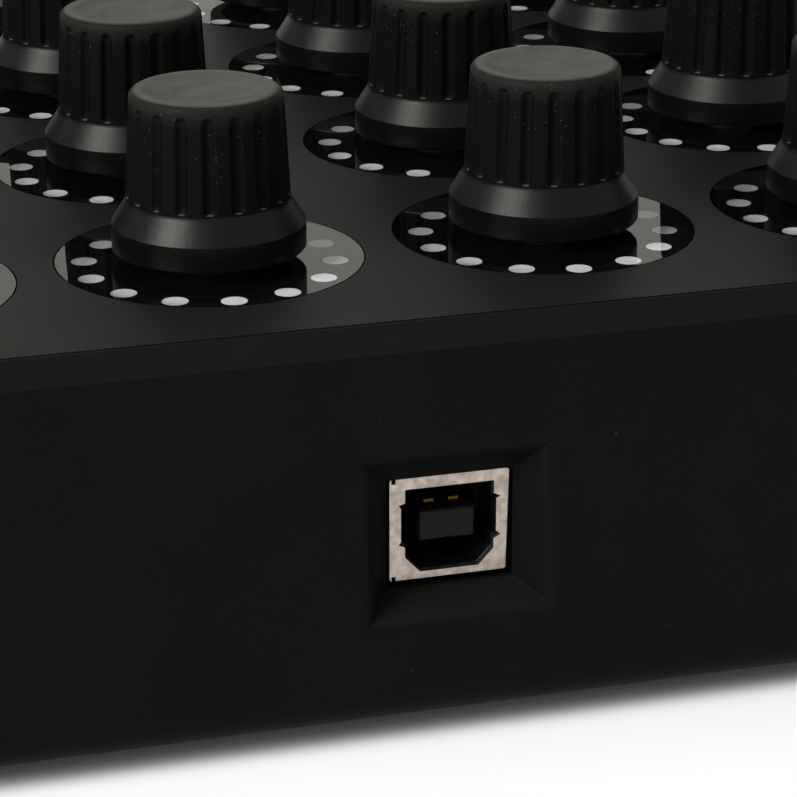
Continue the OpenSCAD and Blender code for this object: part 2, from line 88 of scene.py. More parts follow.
def opened(name):
    # names the new primitive, keeps its place in its mesh and opens it for editing
    piece = bpy.context.object
    piece.name = piece.data.name = name
    bpy.ops.object.transform_apply(location=True, rotation=True, scale=True)
    bpy.ops.object.mode_set(mode="EDIT")
    bpy.ops.mesh.select_mode(type="VERT")
    bpy.ops.mesh.select_all(action="SELECT")
    return piece


def pick(kind, test):
    # selects the points, edges or faces that pass the test, and nothing else
    mesh = bpy.context.edit_object.data
    bpy.ops.mesh.select_mode(type=kind)
    bpy.ops.mesh.select_all(action="DESELECT")
    shape = bmesh.from_edit_mesh(mesh)
    for part in {"VERT": shape.verts, "EDGE": shape.edges, "FACE": shape.faces}[kind]:
        if test(part):
            part.select_set(True)
    shape.select_flush_mode()
    bmesh.update_edit_mesh(mesh)


def middle(part):
    # where an edge or a face is
    corners = part.verts
    return sum((corner.co for corner in corners), Vector()) / len(corners)


def near(value, wanted, within=limits["match"] * mm):
    return abs(value - wanted) < within


def extrude(x, y, z):
    bpy.ops.mesh.extrude_region_move(TRANSFORM_OT_translate={"value": (x, y, z)})


def resize(x, y, z, about=(0, 0, 0)):
    bpy.ops.transform.resize(value=(x, y, z), center_override=about)


def merged():
    bpy.ops.mesh.select_all(action="SELECT")
    bpy.ops.mesh.remove_doubles(threshold=limits["merge"] * mm)


def outward():
    # ends the editing, with the doubles merged and every face turned out
    merged()
    bpy.ops.mesh.normals_make_consistent(inside=False)
    bpy.ops.object.mode_set(mode="OBJECT")


def modified(piece, kind, **settings):
    solo(piece)
    modifier = piece.modifiers.new(kind.title(), kind)
    for key, value in settings.items():
        setattr(modifier, key, value)
    bpy.ops.object.modifier_apply(modifier=modifier.name)


def cut(piece, tool, operation="DIFFERENCE"):
    # cuts the piece with the tool, or unites them, and uses the tool up
    modified(piece, "BOOLEAN", operation=operation, object=tool, solver="EXACT")
    bpy.data.objects.remove(tool)


def joined(pieces, name):
    bpy.ops.object.select_all(action="DESELECT")
    for piece in pieces:
        piece.select_set(True)
    bpy.context.view_layer.objects.active = pieces[0]
    bpy.ops.object.join()
    whole = bpy.context.object
    whole.name = whole.data.name = name
    return whole


def copied(piece, place, name, turn=0.0):
    # a copy with its own mesh, which keeps its place and its turn about Z
    solo(piece)
    bpy.ops.object.duplicate(linked=False)
    copy = bpy.context.object
    copy.name = copy.data.name = name
    copy.location = place
    copy.rotation_euler.z = turn
    bpy.ops.object.transform_apply(location=True, rotation=True, scale=False)
    return copy


def smooth(piece, angle=30, weighted=False):
    # angle is in degrees
    solo(piece)
    bpy.ops.object.shade_smooth_by_angle(angle=math.radians(angle))
    if weighted:
        modified(piece, "WEIGHTED_NORMAL", keep_sharp=True, weight=limits["faceWeight"])


def finished(piece, body, slot, look, *nodes):
    # without a look, the piece keeps its own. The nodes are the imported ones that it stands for
    if look:
        piece.data.materials.clear()
        piece.data.materials.append(look)
    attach(piece, body)
    if nodes:
        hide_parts(*nodes)


def softened(corners, steps=4):
    # an outline whose corners (x, z, radius) are rounded
    points = []
    for number, (x, z, radius) in enumerate(corners):
        here = Vector((x, z))
        if not radius:
            points.append(here)
            continue
        before = (Vector(corners[number - 1][:2]) - here).normalized()
        after = (Vector(corners[(number + 1) % len(corners)][:2]) - here).normalized()
        half = before.angle(after) / 2
        centre = here + (before + after).normalized() * radius / math.sin(half)
        reach = radius / math.tan(half)
        first = here + before * reach - centre
        last = here + after * reach - centre
        start = math.atan2(first.y, first.x)
        sweep = (math.atan2(last.y, last.x) - start + math.pi) % (2 * math.pi) - math.pi
        for step in range(steps + 1):
            angle = start + sweep * step / steps
            points.append(centre + Vector((math.cos(angle), math.sin(angle))) * radius)
    return points


def drawn(name, points):
    # a chain of edges through the points, extruded from one vertex
    bpy.ops.mesh.primitive_plane_add(size=mm)
    piece = opened(name)
    bpy.ops.mesh.merge(type="CENTER")
    bpy.ops.transform.translate(value=points[0])
    for before, after in zip(points, points[1:]):
        extrude(*(after - before))
    return piece


def prism(name, points, run):
    # a solid with that outline, drawn out along run
    piece = drawn(name, points)
    bpy.ops.mesh.select_all(action="SELECT")
    bpy.ops.mesh.edge_face_add()
    extrude(*run)
    outward()
    return piece


def turned(name, rows, sides):
    # a solid of revolution about Z. Its first and last rows close into poles
    (radius, height), *others = [(r * mm, z * mm) for r, z in rows]
    bpy.ops.mesh.primitive_circle_add(vertices=sides, radius=radius, location=(0, 0, height))
    piece = opened(name)
    firstRadius, firstHeight = radius, height
    for nextRadius, nextHeight in others:
        extrude(0, 0, nextHeight - height)
        resize(nextRadius / radius, nextRadius / radius, 1)
        radius, height = nextRadius, nextHeight
    bpy.ops.mesh.merge(type="CENTER")
    pick("VERT", lambda v: near(v.co.z, firstHeight) and near(v.co.xy.length, firstRadius))
    bpy.ops.mesh.merge(type="CENTER")
    outward()
    return piece


def block(name, low, high):
    low, high = Vector(low), Vector(high)
    bpy.ops.mesh.primitive_cube_add(size=1, location=(low + high) / 2, scale=high - low)
    piece = opened(name)
    bpy.ops.object.mode_set(mode="OBJECT")
    return piece


def rod(name, radius, low, high, sides=64, place=(0, 0)):
    bpy.ops.mesh.primitive_cylinder_add(
        vertices=sides, radius=radius, depth=high - low, location=(*place, (low + high) / 2)
    )
    piece = opened(name)
    bpy.ops.object.mode_set(mode="OBJECT")
    return piece


def knobHoles(radius, low, high, sides):
    # one cutter with a rod at every knob
    rods = [rod("knobHole", radius, low, high, sides, (place.x, place.y)) for place in knobPlaces]
    return joined(rods, "knobHoles")


def roundedPlate(name, half, radius, low, high, steps=16):
    # a square plate with round corners
    bpy.ops.mesh.primitive_plane_add(size=2 * half, location=(0, 0, low))
    piece = opened(name)
    bpy.ops.mesh.bevel(offset=radius, segments=steps, affect="VERTICES")
    pick("FACE", lambda f: True)
    extrude(0, 0, high - low)
    outward()
    return piece


def rimmed(piece, size, steps, test):
    # bevels the sharp edges that pass the test
    solo(piece)
    bpy.ops.object.mode_set(mode="EDIT")
    pick("EDGE", lambda e: len(e.link_faces) == 2 and test(e)
         and e.link_faces[0].normal.angle(e.link_faces[1].normal, 0) > limits["sharp"])
    bpy.ops.mesh.bevel(offset=size * mm, segments=steps, affect="EDGES")
    outward()


def painted(piece, look, test):
    # gives the faces that pass the test another of the piece's looks
    pick("FACE", test)
    piece.active_material_index = piece.data.materials.find(look.name)
    bpy.ops.object.material_slot_assign()


# Finishes

# pairs are the two ends of a noise's ramp, and a core, choice, gloss or thinnest is a share
finish = {
    "patch": (0.3, 0.7), "patchDetail": 4.0, "gloss": 0.03,
    "dustAndTopLight": (0.25, 0.75), "dustAndTopLightThinnest": 0.7, "cloud": (0.35, 0.65), "cloudDetail": 3.0,
    "speckCore": 0.6, "speckChoice": 0.02, "speckFade": 6.0,
    "hazeAndSheen": (0.2, 0.8), "hazeAndSheenThinnest": 0.3, "hazeAndSheenFade": 1.6,
}


def newLook(name):
    look = bpy.data.materials.new(name)
    look.use_nodes = True
    return look, look.node_tree.nodes["Principled BSDF"]


def wired(look, kind, inputs=(), **settings):
    # adds a node, sets its settings and fills its inputs with values or with other nodes' outputs
    node = look.node_tree.nodes.new(kind)
    for key, value in settings.items():
        setattr(node, key, value)
    for key, value in dict(inputs).items():
        if isinstance(value, bpy.types.NodeSocket):
            look.node_tree.links.new(value, node.inputs[key])
        else:
            node.inputs[key].default_value = value
    return node


def objectPlace(look):
    return wired(look, "ShaderNodeTexCoord").outputs["Object"]


def upwards(look, vector):
    return wired(look, "ShaderNodeSeparateXYZ", {"Vector": vector}).outputs["Z"]


def noise(look, size, detail=2.0):
    return wired(look, "ShaderNodeTexNoise", {
        "Vector": objectPlace(look), "Scale": 1 / (size * mm), "Detail": detail
    }).outputs["Fac"]


def ramp(look, value, low, high, outLow=0.0, outHigh=1.0):
    return wired(look, "ShaderNodeMapRange", {
        "Value": value, "From Min": low, "From Max": high, "To Min": outLow, "To Max": outHigh
    }).outputs["Result"]


def mixed(look, share, first, second):
    # a colour mix has its share at input 0 and its colours at 6 and 7
    return wired(look, "ShaderNodeMix", {0: share, 6: first, 7: second}, data_type="RGBA").outputs[2]


def times(look, first, second):
    return wired(look, "ShaderNodeMath", {0: first, 1: second}, operation="MULTIPLY").outputs[0]


def tone(colour):
    return (*colour, 1.0)


def dustedAndTopLit(look, surface, fine, dustAndTopLight):
    # dust and painted top light lie on what faces up, thicker in some clouds than in others
    normal = wired(look, "ShaderNodeTexCoord").outputs["Normal"]
    share = times(look, ramp(look, upwards(look, normal), dustAndTopLight["from"], 1.0),
                  ramp(look, fine, *finish["dustAndTopLight"], finish["dustAndTopLightThinnest"], 1.0))
    cloudy = noise(look, dustAndTopLight["cloud"], finish["cloudDetail"])
    share = times(look, share, ramp(look, cloudy, *finish["cloud"], dustAndTopLight["thin"], 1.0))
    return mixed(look, times(look, share, dustAndTopLight["amount"]), surface, tone(dustAndTopLight["colour"]))


def specks(look, spacing, size, share):
    # a few small round specks: one in each cell whose own random number lets it through
    cells = wired(look, "ShaderNodeTexVoronoi", {
        "Vector": objectPlace(look), "Scale": 1 / (spacing * mm)
    })
    spot = ramp(look, cells.outputs["Distance"], size / spacing, size / spacing * finish["speckCore"])
    parts = wired(look, "ShaderNodeSeparateColor", {"Color": cells.outputs["Color"]})
    chosen = ramp(look, parts.outputs["Red"], share, share - finish["speckChoice"])
    return times(look, spot, chosen)


def specked(look, surface, fine, speck):
    # with "above" and a height for the haze, the specks and a fine haze come in from those heights up; the
    # haze is dust and painted sheen
    spots = specks(look, speck["spacing"], speck["size"], speck["share"])
    if "above" in speck:
        height = upwards(look, objectPlace(look))
        spots = times(look, spots, ramp(look, height, speck["above"],
                                        speck["above"] + finish["speckFade"] * mm))
        upper = ramp(look, height, speck["hazeAndSheenAbove"], speck["hazeAndSheenAbove"] + finish["hazeAndSheenFade"] * mm)
        thinnest = speck["hazeAndSheen"] * finish["hazeAndSheenThinnest"]
        hazeAndSheen = times(look, upper, ramp(look, fine, *finish["hazeAndSheen"], thinnest, speck["hazeAndSheen"]))
        surface = mixed(look, hazeAndSheen, surface, tone(speck["colour"]))
    return mixed(look, spots, surface, tone(speck["colour"]))


def satin(name, colour, roughness, specular=0.5, metallic=0.0, grain=0.15, depth=0.01,
          tint=0.12, dustAndTopLight=None, speck=None, patch=16.0):
    # the finish of most pieces: a grained surface with a little dust and a few specks; on the shell and the
    # knobs the dust on upward faces is also painted top light, and the knobs' haze is also painted sheen
    look, shader = newLook(name)
    links = look.node_tree.links
    patches = noise(look, patch, finish["patchDetail"])
    fine = noise(look, grain)
    dark = tone([part * (1 - tint) for part in colour])
    light = tone([part * (1 + tint) for part in colour])
    surface = mixed(look, ramp(look, patches, *finish["patch"]), dark, light)
    if dustAndTopLight:
        surface = dustedAndTopLit(look, surface, fine, dustAndTopLight)
    if speck:
        surface = specked(look, surface, fine, speck)
    dullness = ramp(look, patches, *finish["patch"], roughness - finish["gloss"], roughness + finish["gloss"])
    bump = wired(look, "ShaderNodeBump", {"Height": fine, "Strength": 1.0, "Distance": depth * mm})
    links.new(surface, shader.inputs["Base Color"])
    links.new(dullness, shader.inputs["Roughness"])
    links.new(bump.outputs["Normal"], shader.inputs["Normal"])
    shader.inputs["Specular IOR Level"].default_value = specular
    shader.inputs["Metallic"].default_value = metallic
    return look


def clear(name):
    look, shader = newLook(name)
    shader.inputs["Base Color"].default_value = (1.0, 1.0, 1.0, 1.0)
    shader.inputs["Roughness"].default_value = 0.0
    shader.inputs["IOR"].default_value = 1.5
    shader.inputs["Transmission Weight"].default_value = 1.0
    return look


paleDust = {"spacing": 2.6, "size": 0.1, "share": 0.24, "colour": (0.032, 0.032, 0.03)}
# the shell's dust on upward faces is also painted top light: it lightens the bevel band against the wall
shellLook = satin(
    "softBlackShell", (0.0022, 0.0024, 0.0024), 0.55, 0.05, depth=0.004,
    dustAndTopLight={"from": 0.3, "amount": 0.55, "colour": (0.0135, 0.0145, 0.0130), "cloud": 9.0, "thin": 0.8},
    speck=paleDust,
)
plateLook = satin(
    "darkSatinPlate", (0.0040, 0.0041, 0.0038), 0.52, 0.19, grain=0.12, depth=0.008,
    speck={"spacing": 3.0, "size": 0.09, "share": 0.22, "colour": (0.016, 0.016, 0.015)},
)
# the knobs' dust on upward faces is also painted top light, brightening their tops, rims and flute ends as
# highlights; their haze under the rim is dust and painted sheen
knobLook = satin(
    "blackRubberGrip", (0.0023, 0.0026, 0.0024), 0.6, 0.04, depth=0.006,
    dustAndTopLight={"from": 0.82, "amount": 1.0, "colour": (0.099, 0.098, 0.092), "cloud": 3.2, "thin": 0.78},
    speck={"spacing": 0.46, "size": 0.07, "share": 0.36, "hazeAndSheen": 0.23, "colour": (0.06, 0.06, 0.056),
           "above": knobHigh.z - 9 * mm, "hazeAndSheenAbove": knobHigh.z - 2.3 * mm},
)
skirtColour = (0.0018, 0.0020, 0.0019)
skirtSpeck = {"spacing": 1.5, "size": 0.09, "share": 0.1, "colour": (0.05, 0.05, 0.045)}
skirtLook = satin("blackSkirt", skirtColour, 0.36, 0.085, grain=0.12, depth=0.02, speck=skirtSpeck)
shoulderLook = satin("blackShoulder", skirtColour, 0.36, 0.18, grain=0.12, depth=0.022, speck=skirtSpeck)
lensLook = clear("clearDisc")
discEdgeLook = satin("blackDiscEdge", (0.002, 0.002, 0.002), 0.9, 0.0, depth=0.0, tint=0.02)
# the black mask finish, also used as painted shade in the knobs' hollows
maskAndShadeLook = satin("blackMaskAndShade", (0.0012, 0.0012, 0.0014), 0.6, 0.05, depth=0.0, tint=0.02)
whiteLook = satin("whiteLightGuide", (0.54, 0.55, 0.6), 0.5, 0.3, depth=0.0, tint=0.02)
nickelLook = satin(
    "nickelSheet", (0.39, 0.34, 0.295), 0.34, metallic=1.0, grain=0.35, depth=0.012, tint=0.3, patch=0.8,
)
steelLook = satin("brightSteel", (0.5, 0.5, 0.48), 0.25, metallic=1.0, grain=0.3, depth=0.001)
goldLook = satin("goldContact", (0.13, 0.075, 0.025), 0.3, metallic=1.0, grain=0.3, depth=0.001)
socketPlasticLook = satin(
    "blackSocketPlastic", (0.0024, 0.0024, 0.0027), 0.42, 0.14, grain=0.2, depth=0.02, tint=0.45, patch=0.5,
)
buttonLook = satin("blackButton", (0.0026, 0.0029, 0.0027), 0.5, 0.09, depth=0.004, speck=paleDust)
coverLook = satin("blackCover", (0.008, 0.008, 0.008), 0.6, 0.3, depth=0.02, grain=0.4)
footLook = satin("rubberFoot", (0.012, 0.012, 0.012), 0.8, 0.3, depth=0.01, grain=0.3)
screwLook = satin("blackenedScrew", (0.09, 0.09, 0.088), 0.35, metallic=1.0, grain=0.2, depth=0.002)
boardLook = satin("greenBoard", (0.01, 0.09, 0.035), 0.35, 0.5, grain=0.8, depth=0.005, tint=0.2)
ledLook = satin("whiteLed", (0.7, 0.7, 0.6), 0.5, depth=0.0)
chipLook = satin("blackChip", (0.01, 0.01, 0.011), 0.5, 0.4)
zincLook = satin("zincCase", (0.45, 0.46, 0.46), 0.38, metallic=1.0, grain=0.3, depth=0.002)
waferLook = satin("brownWafer", (0.09, 0.045, 0.02), 0.5, 0.4)
rotorLook = satin("paleRotor", (0.55, 0.54, 0.5), 0.45, 0.4)
print("finishes made")


# Knobs

knob = {
    "height": 16.1, "skirt": 9.65, "skirtHeight": 2.6, "skirtRound": 0.25, "skirtCorner": 0.22,
    "wall": 1.5, "hem": 0.15, "hemRound": 0.12, "boss": 4.5, "bossLift": 0.8,
    "shoulderTop": 5.0, "shoulderOut": 0.01, "shoulderRound": 1.2, "grip": 8.15, "gripLow": 5.34,
    "gripRows": (6.2, 7.5, 10, 12.5), "gripTop": 7.6, "rim": 0.8, "rimWidth": 1.0, "rimSteps": 10,
    "flutes": 18, "columns": 20, "turn": -2, "fluteRadius": 0.65, "fluteDepth": 0.52, "fluteSteps": 7,
    "fluteLow": 5.38, "fluteHigh": 14.95, "scoop": 0.35, "scoopSteps": (0.97, 0.9, 0.75, 0.5, 0.25, 0),
    "blend": 0.25, "blendAbove": 0.4, "blendWidth": 0.45, "insideGrip": 6.5, "slack": 0.01,
    "dish": 0.7, "pole": 0.02,
    # how far in from the rim, and which share of the dish's depth
    "bowl": ((0.35, 0.05), (0.8, 0.19), (1.4, 0.39), (2.2, 0.57), (2.8, 0.67), (3.2, 0.74), (3.55, 0.86),
             (3.9, 0.95), (4.7, 0.99)),
    # where the looks change, over the skirt's and the shoulder's edges, and the hollow, which is given the
    # darker mask finish as painted shade
    "skirtLookEnd": 0.03, "shoulderLookEnd": 0.2, "hollowShadeTop": 3.0, "hollowShadeOut": 0.1,
}
shaft = {"radius": 3.0, "intoKnob": 1.2}
knobZ = knobHigh.z - knob["height"] * mm
hollow = knob["skirt"] - knob["wall"]
fluteEnd = knob["fluteHigh"] - knob["fluteRadius"]
fluteRows = [fluteEnd + knob["fluteRadius"] * step / knob["fluteSteps"]
             for step in range(knob["fluteSteps"] + 1)]
scoopRows = [knob["fluteLow"] + knob["scoop"] * (1 - step) for step in knob["scoopSteps"]]
sector = math.radians(360 / knob["flutes"])
fluteAngle = math.radians(knob["turn"])


def gripRadius(z):
    share = (z - knob["gripLow"]) / (knob["height"] - knob["rim"] - knob["gripLow"])
    return knob["grip"] + (knob["gripTop"] - knob["grip"]) * share


def knobRows():
    # the knob's half outline, from inside its skirt round to the middle of its dish
    inside = [
        (knob["pole"], knob["bossLift"]), (knob["boss"], knob["bossLift"]),
        (knob["boss"], knob["skirtHeight"]), (hollow, knob["skirtHeight"]), (hollow, knob["hem"]),
    ]
    outline = softened([
        (hollow, knob["hem"], 0),
        (hollow, 0, knob["hemRound"]),
        (knob["skirt"], 0, knob["skirtRound"]),
        (knob["skirt"], knob["skirtHeight"], knob["skirtCorner"]),
        (knob["grip"] + knob["shoulderOut"], knob["shoulderTop"], knob["shoulderRound"]),
        (knob["grip"], knob["gripLow"], 0),
    ])[1:]
    heights = [knob["fluteLow"], *scoopRows, *knob["gripRows"], *fluteRows]
    grip = [(gripRadius(z), z) for z in heights]
    dish, top, deep = knob["gripTop"] - knob["rimWidth"], knob["height"], knob["dish"]
    rim = []
    for step in range(knob["rimSteps"] + 1):
        angle = math.radians(90 / knob["rimSteps"] * step)
        rim.append((dish + knob["rimWidth"] * math.cos(angle), top - knob["rim"] * (1 - math.sin(angle))))
    bowl = [(dish - out, top - deep * fall) for out, fall in knob["bowl"]]
    return inside + [tuple(point) for point in outline] + grip + rim + bowl + [(knob["pole"], top - deep)]


def fluteDepthAt(column, along):
    # how deep the flute's round section is in that column, at a place past its straight part
    off = column * sector / knob["columns"] * knob["grip"]
    lift = knob["fluteDepth"] - knob["fluteRadius"]
    room = knob["fluteRadius"] ** 2 - off ** 2 - along ** 2
    return lift + math.sqrt(room) if room > lift ** 2 else 0


def press(column, low, high, along=0):
    # presses the flute into the two columns at that distance from its middle, between two heights
    depth = fluteDepthAt(column, along)
    if not depth:
        return
    step = sector / knob["columns"]
    low, high = low - knob["slack"], high + knob["slack"]
    pick("VERT", lambda v: low * mm < v.co.z < high * mm and v.co.xy.length > knob["insideGrip"] * mm
         and near(abs(math.atan2(v.co.y, v.co.x) - fluteAngle), column * step, step / 4))
    share = 1 - depth / gripRadius((low + high) / 2)
    resize(share, share, 1)


# one sector with a flute is drawn and spun, its flute is pressed in, and the sector goes round
startAngle = fluteAngle - sector / 2
across = Vector((math.cos(startAngle), math.sin(startAngle)))
knobMaster = drawn("knobMaster", [Vector((*(across * radius), z)) * mm for radius, z in knobRows()])
bpy.ops.mesh.select_all(action="SELECT")
bpy.ops.mesh.spin(steps=knob["columns"], angle=-sector, center=(0, 0, 0), axis=(0, 0, 1))
for column in range(knob["columns"] // 2):
    press(column, scoopRows[-1], fluteEnd - 2 * knob["slack"])  # ends short of the round top's first row
    for step, z in zip(knob["scoopSteps"][:-1], scoopRows):
        press(column, z, z, step * knob["fluteRadius"])
    for z in fluteRows:
        press(column, z, z, z - fluteEnd)
blendLow, blendHigh = scoopRows[-1] - knob["slack"], knob["fluteHigh"] + knob["blendAbove"]
pick("VERT", lambda v: blendLow < v.co.z / mm < blendHigh and v.co.xy.length > knob["insideGrip"] * mm
     and abs(math.atan2(v.co.y, v.co.x) - fluteAngle) < sector * knob["blendWidth"])
bpy.ops.mesh.vertices_smooth(factor=knob["blend"], repeat=1, xaxis=True, yaxis=True, zaxis=False)
bpy.ops.mesh.select_all(action="SELECT")
bpy.ops.mesh.spin(
    steps=knob["flutes"] - 1, dupli=True, angle=sector - 2 * math.pi, center=(0, 0, 0), axis=(0, 0, 1)
)
merged()
for upper in (False, True):
    pick("VERT", lambda v: v.co.xy.length < 2 * knob["pole"] * mm
         and (v.co.z > knob["height"] / 2 * mm) == upper)
    bpy.ops.mesh.merge(type="CENTER")
outward()

for look in (skirtLook, knobLook, maskAndShadeLook, shoulderLook):
    knobMaster.data.materials.append(look)
bpy.ops.object.mode_set(mode="EDIT")
painted(knobMaster, shoulderLook, lambda f: middle(f).z > (knob["skirtHeight"] + knob["skirtLookEnd"]) * mm)
painted(knobMaster, knobLook, lambda f: middle(f).z > (knob["shoulderTop"] + knob["shoulderLookEnd"]) * mm)
# the hollow under the knob gets the darker mask finish as painted shade
painted(knobMaster, maskAndShadeLook, lambda f: middle(f).z < knob["hollowShadeTop"] * mm
        and middle(f).xy.length < (hollow + knob["hollowShadeOut"]) * mm)
bpy.ops.object.mode_set(mode="OBJECT")
smooth(knobMaster, 50)

for number, place in enumerate(knobPlaces, 1):
    cap = copied(knobMaster, (place.x, place.y, knobZ), f"knobCap{number}")
    pin = rod(f"steelShaft{number}", shaft["radius"] * mm, knobLow.z, knobZ + shaft["intoKnob"] * mm,
              place=(place.x, place.y))
    smooth(pin)
    finished(cap, f"dial_{number}", "knob", None, f"knob_{number}")
    finished(pin, f"dial_{number}", "steel", steelLook)
bpy.data.objects.remove(knobMaster)
print("knobs made")


# Clear discs

disc = {
    "radius": 15.35, "hole": 4.2, "edge": 0.015, "flatEdge": 0.25, "sink": 0.02, "sides": 192, "flat": 0.98,
}
discLow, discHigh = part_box("indicator_discs")
discThick = (discHigh.z - discLow.z) / mm
flatRadius = disc["radius"] - disc["flatEdge"]
discRing = softened([
    (disc["hole"], -disc["sink"], 0),
    (flatRadius, -disc["sink"], 0),
    (disc["radius"], -disc["sink"], disc["edge"]),
    (disc["radius"], discThick, disc["edge"]),
    (flatRadius, discThick, 0),
    (disc["hole"], discThick, 0),
], 3)
bpy.ops.mesh.primitive_circle_add(
    vertices=disc["sides"], radius=disc["hole"] * mm, location=(0, 0, -disc["sink"] * mm)
)
discMaster = opened("discMaster")
for before, after in zip(discRing, discRing[1:]):
    extrude(0, 0, (after.y - before.y) * mm)
    resize(after.x / before.x, after.x / before.x, 1)
pick("VERT", lambda v: near(v.co.xy.length, disc["hole"] * mm, limits["loose"] * mm))
bpy.ops.mesh.bridge_edge_loops()
outward()
for look in (lensLook, discEdgeLook):
    discMaster.data.materials.append(look)
bpy.ops.object.mode_set(mode="EDIT")
painted(discMaster, discEdgeLook, lambda f: abs(f.normal.z) < disc["flat"]
        and middle(f).xy.length > flatRadius * mm)
bpy.ops.object.mode_set(mode="OBJECT")
smooth(discMaster, 10)
discs = [copied(discMaster, (place.x, place.y, discLow.z), f"clearDisc{number}")
         for number, place in enumerate(knobPlaces, 1)]
bpy.data.objects.remove(discMaster)
lens = joined(discs, "clearDiscs")
finished(lens, "chassis", "disc", None, "indicator_discs")
lens.visible_shadow = False
print("discs made")


# Faceplate

plate = {"cornerRadius": 4.0, "discGap": 0.15, "edge": 0.03, "inset": 0.22}
core = plateHigh.x - plate["cornerRadius"] * mm  # the axis of the body's round corners, in x and in y
facePlate = roundedPlate("facePlate", plateHigh.x - plate["inset"] * mm,
                         (plate["cornerRadius"] - plate["inset"]) * mm, plateLow.z, plateHigh.z)
cut(facePlate, knobHoles((disc["radius"] + plate["discGap"]) * mm, plateLow.z - mm, topZ + mm, disc["sides"]))
rimmed(facePlate, plate["edge"], 2, lambda e: near(middle(e).z, topZ)
       and max(abs(middle(e).x), abs(middle(e).y)) > core)
smooth(facePlate, 40, weighted=True)
finished(facePlate, "chassis", "faceplate", plateLook, "faceplate")
print("faceplate made")


# Shell

shell = {
    "seam": 0.2, "seamRound": 0.03, "rim": 0.25, "rimRound": 0.12, "bevel": 2.25, "bevelRound": 0.35,
    "lean": 6.5, "lowerRound": 3.1, "lowerSteps": 12, "cornerSteps": 14, "wall": 2.5, "roof": 2.3,
    "ledge": 1.0, "lip": 1.0, "lipRound": 0.15, "lipDepth": 2.5, "lipGap": 0.2, "shelf": 1.6,
    "shelfHeight": 3.0, "shelfSlope": 3.0, "holeSides": 96,
}
lean = math.radians(shell["lean"])
topMm, pocketMm, baseMm = topZ / mm, plateLow.z / mm, shellLow.z / mm
pocket = plate["cornerRadius"] + shell["seam"]
bevelRadius = pocket + shell["rim"] + shell["bevel"]
bevelMm = topMm - shell["bevel"]
roofMm = pocketMm - shell["roof"]
roofZ = roofMm * mm


def wallRadius(z):
    # the wall's outside, as a radius about the corners' axes
    return bevelRadius + (bevelMm - z) * math.tan(lean)


def innerRadius(z):
    return wallRadius(z) - shell["wall"] / math.cos(lean)


lowerRound = shell["lowerRound"]
roundRadius = (shellHigh.x - core) / mm - lowerRound
roundMm = baseMm + lowerRound
lowerArc = []
for step in range(shell["lowerSteps"] + 1):
    angle = lean - (lean + math.pi / 2) * step / shell["lowerSteps"]
    x, z = roundRadius + lowerRound * math.cos(angle), roundMm + lowerRound * math.sin(angle)
    lowerArc.append(Vector((x, z)))
lipRadius = roundRadius - shell["lip"]
shelfRadius = lipRadius - shell["lipGap"] - shell["shelf"]
lipMm = baseMm + shell["lipDepth"]
shelfMm = lipMm + shell["shelfHeight"]
slopeMm = shelfMm + shell["shelfSlope"]
outline = softened([
    (0, pocketMm, 0),
    (pocket, pocketMm, 0),
    (pocket, topMm, shell["seamRound"]),
    (pocket + shell["rim"], topMm, shell["rimRound"]),
    (bevelRadius, bevelMm, shell["bevelRound"]),
    (*lowerArc[0], 0),
], 3) + lowerArc[1:] + softened([
    (*lowerArc[-1], 0),
    (lipRadius, baseMm, shell["lipRound"]),
    (lipRadius, lipMm, 0),
    (shelfRadius, lipMm, 0),
    (shelfRadius, shelfMm, 0),
    (innerRadius(slopeMm), slopeMm, 0),
    (innerRadius(roofMm), roofMm, 0),
    (0, roofMm, 0),
], 3)[1:]

# the outline is spun round one corner, drawn out to the middle of two walls and mirrored
shellBody = drawn("shellBody", [Vector((core + p.x * mm, core, p.y * mm)) for p in outline])
bpy.ops.mesh.select_all(action="SELECT")
bpy.ops.mesh.spin(steps=shell["cornerSteps"], angle=-math.pi / 2, center=(core, core, 0), axis=(0, 0, 1))
pick("EDGE", lambda e: all(near(v.co.x, core) and v.co.y > core - mm for v in e.verts))
extrude(-core, 0, 0)
pick("EDGE", lambda e: all(near(v.co.y, core) and v.co.x > core - mm for v in e.verts))
extrude(0, -core, 0)
merged()
bpy.ops.object.mode_set(mode="OBJECT")
modified(shellBody, "MIRROR", use_axis=(True, True, False), merge_threshold=limits["mirror"] * mm)
bpy.ops.object.mode_set(mode="EDIT")
for level in (plateLow.z, roofZ):
    pick("EDGE", lambda e: len(e.link_faces) == 1 and near(middle(e).z, level))
    bpy.ops.mesh.edge_face_add()
outward()
print("shell wall made")

# the socket's recess narrows from the wall to the socket's face
recess = {
    "sideGap": 0.35, "lowGap": 0.8, "frontGap": 0.1, "holeDepth": 3.0, "rise": 0.2, "width": 18.7,
    "height": 16.5, "floor": 2.0, "rim": 3.5, "padSink": 1.8, "corner": 0.06, "cornerSteps": 4,
    "flare": 2.5, "flareSteps": 6, "flareOut": 0.03, "longEdge": 1.5, "mouthDepth": 0.2, "facing": 0.9,
    "past": 2.0,
}
socketLow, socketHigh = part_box("usb_shell")
socketX, socketZ = (socketLow.x + socketHigh.x) / 2, (socketLow.z + socketHigh.z) / 2
socketY = socketHigh.y
sideGap, lowGap = recess["sideGap"] * mm, recess["lowGap"] * mm
holeLow = Vector((socketLow.x - sideGap, socketY - recess["holeDepth"] * mm, socketLow.z - lowGap))
holeHigh = Vector((socketHigh.x + sideGap, socketY + recess["frontGap"] * mm, socketHigh.z))
holeSize = holeHigh - holeLow
holeMiddle = Vector((socketX, socketY, (holeLow.z + holeHigh.z) / 2))
mouthZ = socketZ + recess["rise"] * mm
outsideY = core + wallRadius(mouthZ / mm) * mm
around = Vector((recess["rim"] * mm, 0, recess["rim"] * mm))
padLow, padHigh = holeLow - around, holeHigh + around
